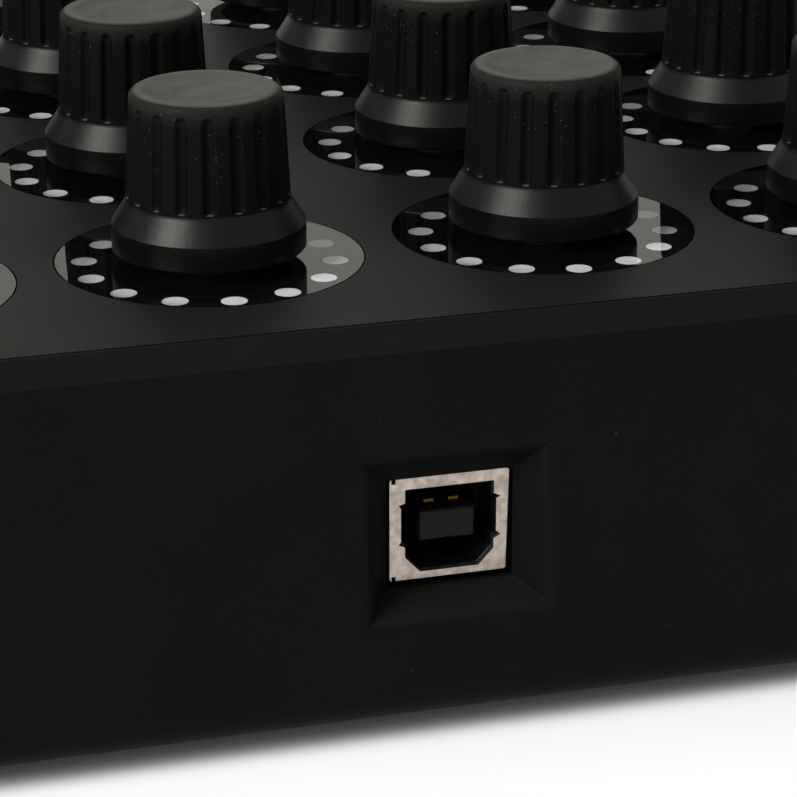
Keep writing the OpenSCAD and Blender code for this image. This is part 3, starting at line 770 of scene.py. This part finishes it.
padLow.y, padHigh.y = socketY - recess["floor"] * mm, outsideY - recess["padSink"] * mm
pad = block("socketPad", padLow, padHigh)
bpy.ops.object.mode_set(mode="EDIT")
for z in (padLow.z, padHigh.z):
    pick("VERT", lambda v: near(v.co.y, padHigh.y) and near(v.co.z, z))
    bpy.ops.transform.translate(value=(0, (mouthZ - z) * math.tan(lean), 0))
bpy.ops.object.mode_set(mode="OBJECT")
cut(shellBody, pad, "UNION")

slope = math.atan2((recess["width"] - holeSize.x / mm) / 2, (outsideY - socketY) / mm)
bend = math.pi / 2 - slope
reach = recess["flare"] * math.tan(bend / 2)
flare = []
for step in range(recess["flareSteps"] + 1):
    angle = bend * (1 - step / recess["flareSteps"])
    flare.append(Vector((reach - recess["flare"] * math.sin(angle),
                         recess["flare"] * (math.cos(angle) - 1) + recess["flareOut"])))
out = Vector((0, math.cos(lean), math.sin(lean)))
bpy.ops.mesh.primitive_plane_add(size=1, rotation=(math.pi / 2, 0, 0), location=holeMiddle)
funnel = opened("funnel")
resize(holeSize.x, 1, holeSize.z, holeMiddle)
centre = Vector((socketX, outsideY, mouthZ)) + out * flare[0].y * mm
wide, high = [recess[side] + 2 * flare[0].x for side in ("width", "height")]
extrude(0, centre.y - holeMiddle.y, centre.z - holeMiddle.z)
resize(wide * mm / holeSize.x, 1, high * mm / holeSize.z, centre)
for side in (-1, 1):
    pick("VERT", lambda v: near(v.co.y, centre.y, limits["loose"] * mm) and (v.co.z - centre.z) * side > 0)
    bpy.ops.transform.translate(value=(0, -side * high / 2 * math.sin(lean) * mm, 0))
pick("EDGE", lambda e: abs(e.verts[0].co.y - e.verts[1].co.y) > recess["longEdge"] * mm)
bpy.ops.mesh.bevel(offset=recess["corner"] * mm, segments=recess["cornerSteps"], affect="EDGES")
pick("FACE", lambda f: middle(f).y > centre.y - recess["mouthDepth"] * mm
     and abs(f.normal.y) > recess["facing"])
for before, after in zip(flare, flare[1:]):
    extrude(*(out * (after.y - before.y) * mm))
    centre = centre + out * (after.y - before.y) * mm
    grow = 2 * (after.x - before.x)
    resize((wide + grow) / wide, (high + grow) / high, (high + grow) / high, centre)
    wide, high = wide + grow, high + grow
extrude(*(out * recess["past"] * mm))
outward()
cut(shellBody, funnel)
cut(shellBody, block("socketHole", holeLow, holeHigh))
print("recess cut")

# each side button has an upright seat on the wall's inside and a hole through it
button = {
    "length": 13.0, "height": 6.4, "endSteps": 10, "gap": 0.3, "proud": 0.9, "rim": 2.2, "seat": 0.5,
    "seatGap": 0.1, "seatSink": 1.2, "lip": 1.3, "flange": 1.2, "stem": 2.0, "stemSides": 48, "overlap": 0.2,
    "edge": 0.5, "faceDepth": 0.5,
}
buttonBoxes = [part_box(f"side_button_{number}") for number in range(1, 7)]
stemLow = buttonBoxes[0][0].x
buttonZ = (buttonBoxes[0][0].z + buttonBoxes[0][1].z) / 2
buttonTop = buttonZ / mm + button["height"] / 2 + button["rim"]
seatX = core + (innerRadius(buttonTop) - button["seat"]) * mm
padX = core + (wallRadius(buttonTop) - button["seatSink"]) * mm
halfPad = Vector((0, button["length"] / 2 + button["rim"], button["height"] / 2 + button["rim"])) * mm


def pill(name, grow, low, high, y, z):
    # a bar with round ends, along Y, from low to high in X
    halfLength, halfHeight = button["length"] / 2 + grow, button["height"] / 2 + grow
    corners = [(a * halfLength, b * halfHeight, halfHeight) for a, b in ((-1, -1), (1, -1), (1, 1), (-1, 1))]
    points = [Vector((low, y + p.x * mm, z + p.y * mm)) for p in softened(corners, button["endSteps"])]
    return prism(name, points, (high - low, 0, 0))


pads, openings = [], []
for boxLow, boxHigh in buttonBoxes:
    side = 1 if boxHigh.x > 0 else -1
    y = (boxLow.y + boxHigh.y) / 2
    padFrom, padTo = [Vector((x, y, buttonZ)) for x in sorted((side * seatX, side * padX))]
    pads.append(block("buttonPad", padFrom - halfPad, padTo + halfPad))
    holeFrom, holeTo = side * (seatX - mm), side * (shellHigh.x + mm)
    openings.append(pill("buttonHole", button["gap"], holeFrom, holeTo, y, buttonZ))
cut(shellBody, joined(pads, "buttonPads"), "UNION")
cut(shellBody, joined(openings, "buttonHoles"))
ledgeRadius = (disc["radius"] - shell["ledge"]) * mm
cut(shellBody, knobHoles(ledgeRadius, roofZ - mm, plateLow.z + mm, shell["holeSides"]))
print("shell cut")

finished(shellBody, "chassis", "shell", shellLook, "top_shell")
smooth(shellBody, 30, weighted=True)


# Side buttons

flangeHigh = seatX - button["seatGap"] * mm
flangeLow = flangeHigh - button["flange"] * mm
stemHigh = flangeLow + button["overlap"] * mm
faceX = core + (wallRadius(buttonZ / mm) + button["proud"]) * mm
buttonMaster = pill("buttonMaster", 0, flangeHigh - button["overlap"] * mm, faceX, 0, buttonZ)
bpy.ops.object.mode_set(mode="EDIT")
pick("VERT", lambda v: near(v.co.x, faceX))
bpy.ops.transform.rotate(value=lean, orient_axis="Y", center_override=(faceX, 0, buttonZ))
bpy.ops.object.mode_set(mode="OBJECT")
faceLow = faceX - button["faceDepth"] * mm
rimmed(buttonMaster, button["edge"], 5, lambda e: all(v.co.x > faceLow for v in e.verts))
cut(buttonMaster, pill("flange", button["lip"], flangeLow, flangeHigh, 0, buttonZ), "UNION")
bpy.ops.mesh.primitive_cylinder_add(
    vertices=button["stemSides"], radius=button["stem"] * mm, depth=stemHigh - stemLow,
    rotation=(0, math.pi / 2, 0), location=((stemHigh + stemLow) / 2, 0, buttonZ),
)
stem = opened("stem")
bpy.ops.object.mode_set(mode="OBJECT")
cut(buttonMaster, stem, "UNION")
smooth(buttonMaster, 35, weighted=True)
for number, (boxLow, boxHigh) in enumerate(buttonBoxes, 1):
    facing = 0.0 if boxHigh.x > 0 else math.pi
    key = copied(buttonMaster, (0, (boxLow.y + boxHigh.y) / 2, 0), f"sideButton{number}", facing)
    finished(key, f"button_{number}", "button", buttonLook, f"side_button_{number}")
bpy.data.objects.remove(buttonMaster)
print("side buttons made")


# Data socket

socket = {
    "width": 12.0, "height": 10.5, "depth": 16.0, "sheet": 0.4, "corner": 0.3, "lean": 0.27, "edge": 0.08,
    "drop": 0.2, "cutAhead": 1.0, "cutPast": 0.2, "slot": (0.42, 6.0, 0.96), "slotIn": 0.4,
    # the mouth's corners: x, z and radius
    "mouth": (
        (2.95, -4.3, 0.1), (4.45, -2.7, 0.1), (4.45, -1.65, 0.1), (5.1, -1.35, 0.04), (4.85, -1.05, 0.04),
        (4.85, 2.4, 0.04), (5.1, 2.72, 0.04), (4.45, 2.92, 0.04), (4.45, 4.3, 0.1), (-4.45, 4.3, 0.1),
        (-4.45, 2.95, 0.1), (-4.72, 2.85, 0.04), (-5.15, 2.62, 0.04), (-4.7, 2.42, 0.04), (-4.7, -0.95, 0.04),
        (-5.12, -1.35, 0.04), (-4.45, -1.75, 0.1), (-4.45, -2.7, 0.1), (-2.95, -4.3, 0.1),
    ),
    # the face's edges are rounded beyond faceEdge, an x and a z, but not where slotEdge has their x
    "faceEdge": (5.4, 5.0), "slotEdge": (5.2, 5.95),
}
insert = {
    "gap": 0.05, "lip": 0.14, "lipEdge": 0.25, "lipOut": 4.6, "plugRound": 0.3, "plugRoom": 9.45,
    "plug": ((4.45, 4.3), (-4.45, 4.3), (-4.45, -2.7), (-2.95, -4.3), (2.95, -4.3), (4.45, -2.7)),
    "springRoom": ((-4.8, -1.5, -6), (4.9, 2.5, 0)), "tongue": (5.7, 3.2), "tongueBack": 0.8,
    "tongueRoot": 0.5, "tongueEdge": 0.35,
}
contact = {
    "width": 1.0, "pitch": 2.5, "back": 2.0,
    # the bent spring's side: how far forward, and how high over the tongue
    "spring": ((0, -0.1), (0, 0.22), (-0.1, 0.38), (-0.35, 0.46), (-0.8, 0.42), (-1.2, 0.1), (-6.5, 0.08),
               (-6.5, -0.1)),
}
halfWide, halfHigh = socket["width"] / 2, socket["height"] / 2


def atSocket(x, z, y=0.0):
    return Vector((socketX + x * mm, socketY + y * mm, socketZ + z * mm))


sheetOutline = softened([
    (-halfWide + socket["lean"], -halfHigh, socket["corner"]), (halfWide, -halfHigh, socket["corner"]),
    (halfWide, halfHigh, socket["corner"]), (-halfWide, halfHigh, socket["corner"]),
], 3)
socketCase = prism("socketCase", [atSocket(p.x, p.y) for p in sheetOutline], (0, -socket["depth"] * mm, 0))
halfHollow = Vector((halfWide - socket["sheet"], 0, halfHigh - socket["sheet"])) * mm
hollowBack = atSocket(socket["lean"], 0, -socket["depth"] - socket["cutAhead"])
hollowFront = atSocket(0, 0, -socket["sheet"])
cut(socketCase, block("hollow", hollowBack - halfHollow, hollowFront + halfHollow))
mouth = softened([(x, z - socket["drop"], radius) for x, z, radius in socket["mouth"]], 2)
mouthRun = -(socket["cutAhead"] + socket["cutPast"] + socket["sheet"]) * mm
cut(socketCase, prism("mouth", [atSocket(p.x, p.y, socket["cutAhead"]) for p in mouth], (0, mouthRun, 0)))
halfSlot = Vector(socket["slot"]) / 2 * mm
slotMiddles = [atSocket(halfWide - socket["slotIn"], z) for z in (halfHigh, -halfHigh)]
cut(socketCase, joined([block("slot", at - halfSlot, at + halfSlot) for at in slotMiddles], "slots"))


def onCaseEdge(edge):
    # on the face's outer edge, and not at a slot
    at = (middle(edge) - atSocket(0, 0)) / mm
    beyond = abs(at.x) > socket["faceEdge"][0] or abs(at.z) > socket["faceEdge"][1]
    return (all(near(v.co.y, socketY) for v in edge.verts) and beyond
            and not socket["slotEdge"][0] < at.x < socket["slotEdge"][1])


rimmed(socketCase, socket["edge"], 2, onCaseEdge)
smooth(socketCase, 40, weighted=True)
finished(socketCase, "chassis", "socket_metal", nickelLook, "usb_shell")

room = socket["sheet"] + insert["gap"]
halfInsert = Vector((halfWide - room - socket["lean"] / 2, 0, halfHigh - room)) * mm
socketInsert = block("socketInsert", atSocket(socket["lean"] / 2, 0, -socket["depth"]) - halfInsert,
                     atSocket(socket["lean"] / 2, 0, -room) + halfInsert)
lip = insert["lip"]
plugMouth = softened([
    (x - math.copysign(lip, x), z - math.copysign(lip, z) - socket["drop"], insert["plugRound"])
    for x, z in insert["plug"]
])
plugRun = -(socket["cutAhead"] + insert["plugRoom"]) * mm
plugPoints = [atSocket(p.x, p.y, socket["cutAhead"]) for p in plugMouth]
cut(socketInsert, prism("plugRoom", plugPoints, (0, plugRun, 0)))
rimmed(socketInsert, insert["lipEdge"], 3, lambda e: all(
    near(v.co.y, socketY - room * mm) and abs(v.co.x - socketX) < insert["lipOut"] * mm for v in e.verts))
cut(socketInsert, block("springRoom", *[atSocket(x, z, y) for x, z, y in insert["springRoom"]]))
tongueWide, tongueHigh = [size / 2 for size in insert["tongue"]]
tongueFront = socketY - insert["tongueBack"] * mm
tongueRoot = -insert["plugRoom"] - insert["tongueRoot"]
tongue = block("tongue", atSocket(-tongueWide, -tongueHigh - socket["drop"], tongueRoot),
               atSocket(tongueWide, tongueHigh - socket["drop"], -insert["tongueBack"]))
rimmed(tongue, insert["tongueEdge"], 4, lambda e: all(near(v.co.y, tongueFront) for v in e.verts))
cut(socketInsert, tongue, "UNION")
smooth(socketInsert, 40, weighted=True)
finished(socketInsert, "chassis", "socket_plastic", socketPlasticLook, "usb_insert")

contacts = []
for side in (-1, 1):
    for x in (-contact["pitch"] / 2, contact["pitch"] / 2):
        points = [
            atSocket(x - contact["width"] / 2, side * (tongueHigh + rise) - socket["drop"],
                     -insert["tongueBack"] - contact["back"] + forward)
            for forward, rise in contact["spring"]
        ]
        contacts.append(prism("contact", points, (contact["width"] * mm, 0, 0)))
socketContacts = joined(contacts, "socketContacts")
smooth(socketContacts, 50)
finished(socketContacts, "chassis", "contact", goldLook, "usb_contacts")
print("socket made")


# Base

cover = {"edge": 0.3, "hole": 1.65, "countersink": 2.9, "holeTop": 4.0, "ahead": 1.0, "pole": 1.0}
foot = {
    "radius": 7.0, "seat": 7.1, "seatDepth": 0.5, "pole": 1.0, "sides": 96,
    "tread": ((1, 0.3), (3.6, 0.3), (3.9, 0.22), (4.1, 0.05), (4.3, 0), (5.9, 0), (6.3, 0.1), (6.6, 0.32),
              (6.85, 0.8), (7, 1.5)),
}
screw = {
    "packedHead": 2.8, "head": ((2.62, 0), (2.74, 0.02), (2.78, 0.1)), "headDepth": 1.35, "headPole": 1.0,
    "thread": 1.45, "tipLength": 0.5, "tip": 1.0, "tipPole": 0.5, "cross": (3.2, 0.6), "crossDepth": 0.8,
    "sides": 48,
}
coverLow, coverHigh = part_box("bottom_cover")
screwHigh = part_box("cover_screws")[1]
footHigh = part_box("rubber_feet")[1]
coverMm, tipMm = coverLow.z / mm, screwHigh.z / mm
screwAt, footAt = screwHigh.x - screw["packedHead"] * mm, footHigh.x - foot["radius"] * mm
corners = [(x, y) for x in (-1, 1) for y in (-1, 1)]

baseCover = roundedPlate("baseCover", coverHigh.x, coverHigh.x - core, coverLow.z, coverHigh.z)
rimmed(baseCover, cover["edge"], 3, lambda e: near(middle(e).z, coverLow.z))
screwHole = turned("screwHole", [
    (cover["pole"], coverMm - cover["ahead"]), (cover["countersink"], coverMm - cover["ahead"]),
    (cover["countersink"], coverMm), (cover["hole"], coverMm + screw["headDepth"]),
    (cover["hole"], coverMm + cover["holeTop"]), (cover["pole"], coverMm + cover["holeTop"]),
], screw["sides"])
seatHigh = coverLow.z + foot["seatDepth"] * mm
tools = [copied(screwHole, (x * screwAt, y * screwAt, 0), "screwHole") for x, y in corners]
tools += [
    rod("footSeat", foot["seat"] * mm, coverLow.z - mm, seatHigh, foot["sides"], (x * footAt, y * footAt))
    for x, y in corners
]
cut(baseCover, joined(tools, "baseTools"))
bpy.data.objects.remove(screwHole)
smooth(baseCover, 40, weighted=True)
finished(baseCover, "chassis", "base", coverLook, "bottom_cover")

footTop = footHigh.z / mm
footMaster = turned("footMaster", [
    *foot["tread"], (foot["radius"], footTop), (foot["pole"], footTop),
], foot["sides"])
feet = joined([copied(footMaster, (x * footAt, y * footAt, 0), "foot") for x, y in corners], "rubberFeet")
bpy.data.objects.remove(footMaster)
smooth(feet, 30, weighted=True)
finished(feet, "chassis", "foot", footLook, "rubber_feet")

screwMaster = turned("screwMaster", [
    (screw["headPole"], coverMm), *[(radius, coverMm + rise) for radius, rise in screw["head"]],
    (screw["thread"], coverMm + screw["headDepth"]), (screw["thread"], tipMm - screw["tipLength"]),
    (screw["tip"], tipMm), (screw["tipPole"], tipMm),
], screw["sides"])
length, thick = [size * mm for size in screw["cross"]]
crossHigh = coverLow.z + screw["crossDepth"] * mm
for x, y in ((length / 2, thick / 2), (thick / 2, length / 2)):
    cut(screwMaster, block("bar", (-x, -y, coverLow.z - mm), (x, y, crossHigh)))
screws = [copied(screwMaster, (x * screwAt, y * screwAt, 0), "screw") for x, y in corners]
coverScrews = joined(screws, "coverScrews")
bpy.data.objects.remove(screwMaster)
smooth(coverScrews, 35, weighted=True)
finished(coverScrews, "chassis", "screw", screwLook, "cover_screws")
print("base made")


# What stays as packed gets its finish

packedLooks = {
    "mask_rings": maskAndShadeLook, "light_guides": whiteLook, "circuit_board": boardLook, "ring_leds": ledLook,
    "board_chips": chipLook, "encoder_cases": zincLook, "encoder_bases": waferLook, "switch_domes": steelLook,
    "side_switches": chipLook, "board_screws": screwLook,
}
for name, node in frame["nodes"].items():
    look = rotorLook if name.startswith("encoder_rotor") else packedLooks.get(name)
    if look:
        node.data.materials.clear()
        node.data.materials.append(look)
print("packed pieces finished")


# Floor, light and camera, with their places and sizes in metres

studio = {
    "floor": 8.0, "sky": 0.635, "key": 21.6, "keyPlace": (1.02, 0.5, 0.74), "keyAim": (0, 0.05, 0.03),
    "keySize": 0.6, "colour": (1.0, 0.99, 0.925),
}
bpy.ops.mesh.primitive_plane_add(size=studio["floor"])
floor = opened("paleFloor")
bpy.ops.object.mode_set(mode="OBJECT")
floorLook = satin("paleFloor", (0.92, 0.93, 0.99), 0.9, 0.1, grain=2.0, depth=0.0, tint=0.005)
floor.data.materials.append(floorLook)
floor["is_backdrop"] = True

world = bpy.data.worlds.new("softStudio")
world.use_nodes = True
world.node_tree.nodes["Background"].inputs["Color"].default_value = tone(studio["colour"])
world.node_tree.nodes["Background"].inputs["Strength"].default_value = studio["sky"]
bpy.context.scene.world = world

bpy.ops.object.light_add(type="AREA", location=studio["keyPlace"])
lamp = bpy.context.object
lamp.name = "keySoftbox"
lamp.data.shape = "RECTANGLE"
lamp.data.size = lamp.data.size_y = studio["keySize"]
lamp.data.energy = studio["key"]
lamp.data.color = studio["colour"]
lamp.rotation_mode = "QUATERNION"
lamp.rotation_quaternion = (Vector(studio["keyAim"]) - Vector(studio["keyPlace"])).to_track_quat("-Z", "Y")

# pitch and yaw are in degrees, lens and sensor in millimetres
camera = {
    "place": (0.08507, 0.34466, 0.13687), "pitch": 20.319, "yaw": 16.609, "lens": 142.8, "sensor": 36.0,
    "clip": (0.01, 20.0),
}
view = (math.radians(90 - camera["pitch"]), 0, math.radians(180 - camera["yaw"]))
bpy.ops.object.camera_add(location=camera["place"], rotation=view)
eye = bpy.context.object
eye.name = "photoCamera"
eye.data.lens = camera["lens"]
eye.data.sensor_width = camera["sensor"]
eye.data.clip_start, eye.data.clip_end = camera["clip"]
bpy.context.scene.camera = eye
print("floor, light and camera made")

low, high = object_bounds()
